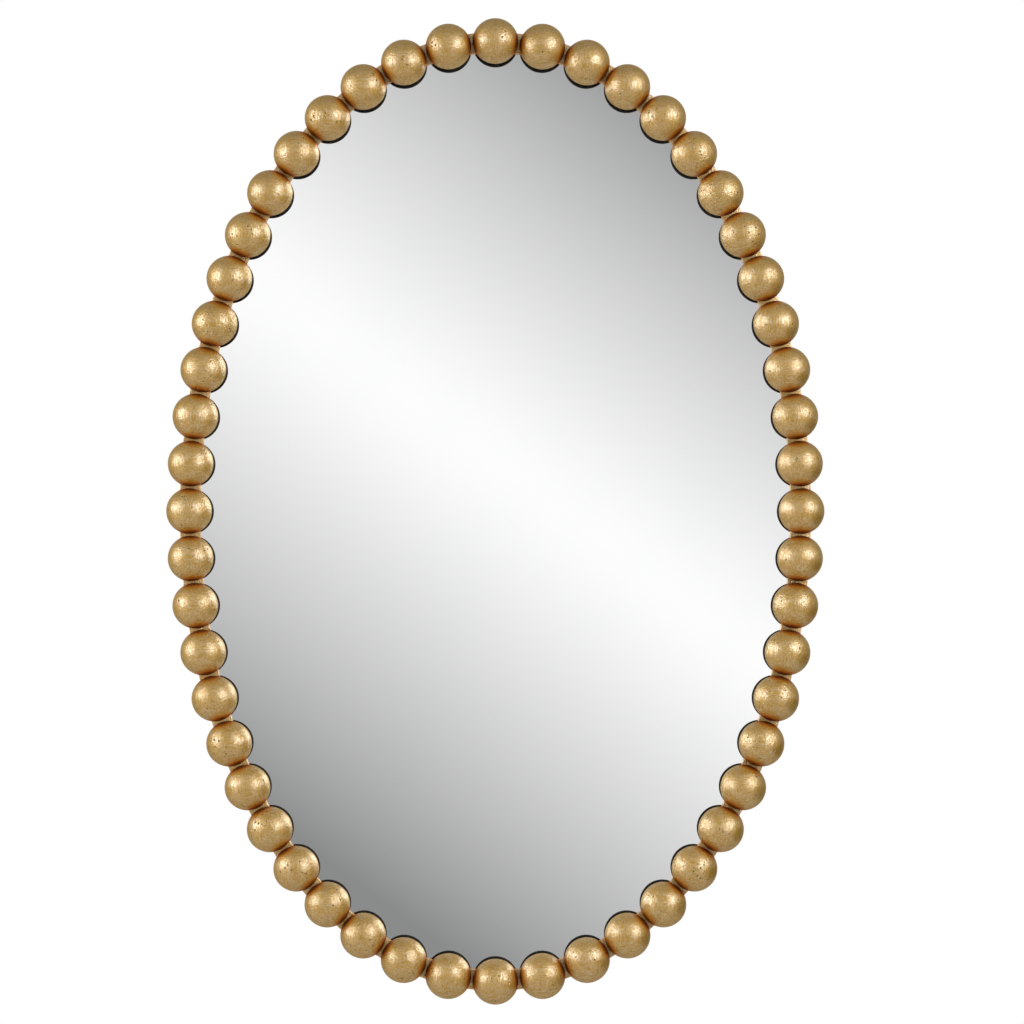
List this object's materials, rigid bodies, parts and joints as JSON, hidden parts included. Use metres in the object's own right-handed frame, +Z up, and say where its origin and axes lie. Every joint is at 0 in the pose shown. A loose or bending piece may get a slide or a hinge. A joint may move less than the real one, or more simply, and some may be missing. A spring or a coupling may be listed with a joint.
{
  "type": "oval wall mirror",
  "caption": "Oval wall mirror: flat silvered glass behind a ring frame set with a string of gilded balls, with a pocketed back board and swinging D-ring hangers.",
  "frame": {"origin": "the oval's centre on the wall plane, where the bumpers' flat ends meet the wall", "axes": "+Z up, +X to the right seen from the front, front facing -Y"},
  "size_m": [0.6099, 0.0606, 0.914],
  "materials": {
    "gold_leaf": "antiqued gold leaf on turned wood, black behind the widest line",
    "gilt_steel": "antiqued gold leaf on flat steel, black back",
    "silvered_glass": "plain silvered float glass",
    "black_board": "fibreboard painted black",
    "foam_tape": "closed-cell foam tape",
    "zinc_steel": "bright zinc plate",
    "bumper_rubber": "matt rubber"
  },
  "bodies": {
    "mirror_frame": {"back_board": "black_board", "ball_bottom": "gold_leaf", "ball_pair_01": "gold_leaf", "ball_pair_02": "gold_leaf", "ball_pair_03": "gold_leaf", "ball_pair_04": "gold_leaf", "ball_pair_05": "gold_leaf", "ball_pair_06": "gold_leaf", "ball_pair_07": "gold_leaf", "ball_pair_08": "gold_leaf", "ball_pair_09": "gold_leaf", "ball_pair_10": "gold_leaf", "ball_pair_11": "gold_leaf", "ball_pair_12": "gold_leaf", "ball_pair_13": "gold_leaf", "ball_pair_14": "gold_leaf", "ball_pair_15": "gold_leaf", "ball_pair_16": "gold_leaf", "ball_pair_17": "gold_leaf", "ball_pair_18": "gold_leaf", "ball_pair_19": "gold_leaf", "ball_pair_20": "gold_leaf", "ball_pair_21": "gold_leaf", "ball_pair_22": "gold_leaf", "ball_pair_23": "gold_leaf", "ball_pair_24": "gold_leaf", "ball_pair_25": "gold_leaf", "ball_screws": "zinc_steel", "ball_top": "gold_leaf", "board_screws": "zinc_steel", "bumper_lower_left": "bumper_rubber", "bumper_lower_right": "bumper_rubber", "bumper_upper_left": "bumper_rubber", "bumper_upper_right": "bumper_rubber", "frame_ring": "gilt_steel", "glazing_tape": "foam_tape", "hanger_screws": "zinc_steel", "hanger_strap_left": "zinc_steel", "hanger_strap_right": "zinc_steel", "mirror_glass": "silvered_glass"},
    "left_d_ring": {"d_ring_left": "zinc_steel"},
    "right_d_ring": {"d_ring_right": "zinc_steel"}
  },
  "joints": [
    {"name": "left_d_ring_swing", "type": "hinge", "parent": "mirror_frame", "child": "left_d_ring", "pos_m": [-0.23036, -0.0033, 0.15681], "axis": [1, 0, 0], "range_deg": [0, 175]},
    {"name": "right_d_ring_swing", "type": "hinge", "parent": "mirror_frame", "child": "right_d_ring", "pos_m": [0.23036, -0.0033, 0.15681], "axis": [1, 0, 0], "range_deg": [0, 175]}
  ]
}
